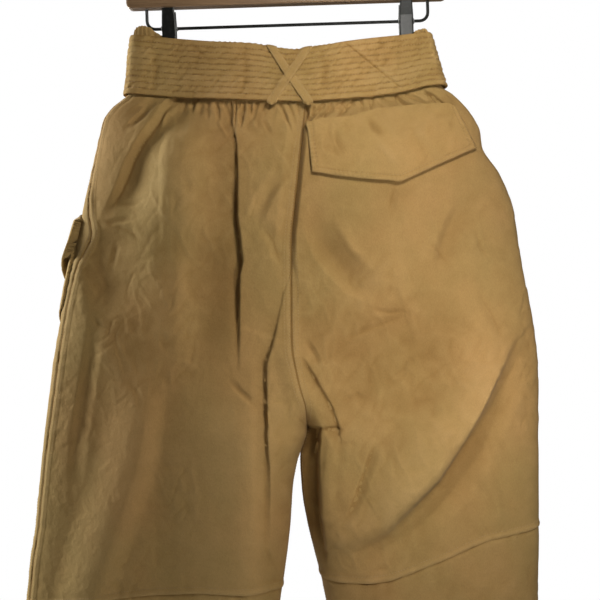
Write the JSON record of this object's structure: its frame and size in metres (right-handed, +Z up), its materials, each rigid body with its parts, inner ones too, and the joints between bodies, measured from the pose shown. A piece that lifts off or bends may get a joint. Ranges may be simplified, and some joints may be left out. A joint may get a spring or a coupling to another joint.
{
  "type": "paperbag waist trousers on a clip hanger",
  "caption": "Cotton paperbag waist trousers with a wide quilted belt, cargo pockets and a back pocket flap, hanging by the gathered waist from a wooden clip hanger.",
  "frame": {"origin": "the point under the hook's crown that rests on the rail", "axes": "+Z up, +X towards the wearer's right side, -Y out of the trousers' back, which the picture shows"},
  "size_m": [0.5582, 0.104, 1.2125],
  "materials": {
    "cloth": "washed matt cotton twill, khaki",
    "band_cloth": "the same cotton, ribbed by the elastic",
    "belt_cloth": "the same cotton, quilted in level channels",
    "wood": "satin varnished light oak",
    "black_metal": "satin black"
  },
  "bodies": {
    "root": {"front_left": "cloth", "front_right": "cloth", "back_left": "cloth", "back_right": "cloth", "lower_front_left": "cloth", "lower_front_right": "cloth", "lower_back_left": "cloth", "lower_back_right": "cloth", "waistband": "band_cloth", "belt": "belt_cloth", "belt_loop_under": "belt_cloth", "belt_loop_over": "belt_cloth", "back_flap": "cloth", "cargo_pocket_left": "cloth", "cargo_pocket_right": "cloth", "cargo_flap_left": "cloth", "cargo_flap_right": "cloth", "hanger_bar": "wood", "clip_wire": "black_metal", "hook": "black_metal", "clip_back_left": "black_metal", "clip_front_left": "black_metal", "clip_back_right": "black_metal", "clip_front_right": "black_metal"}
  },
  "joints": []
}
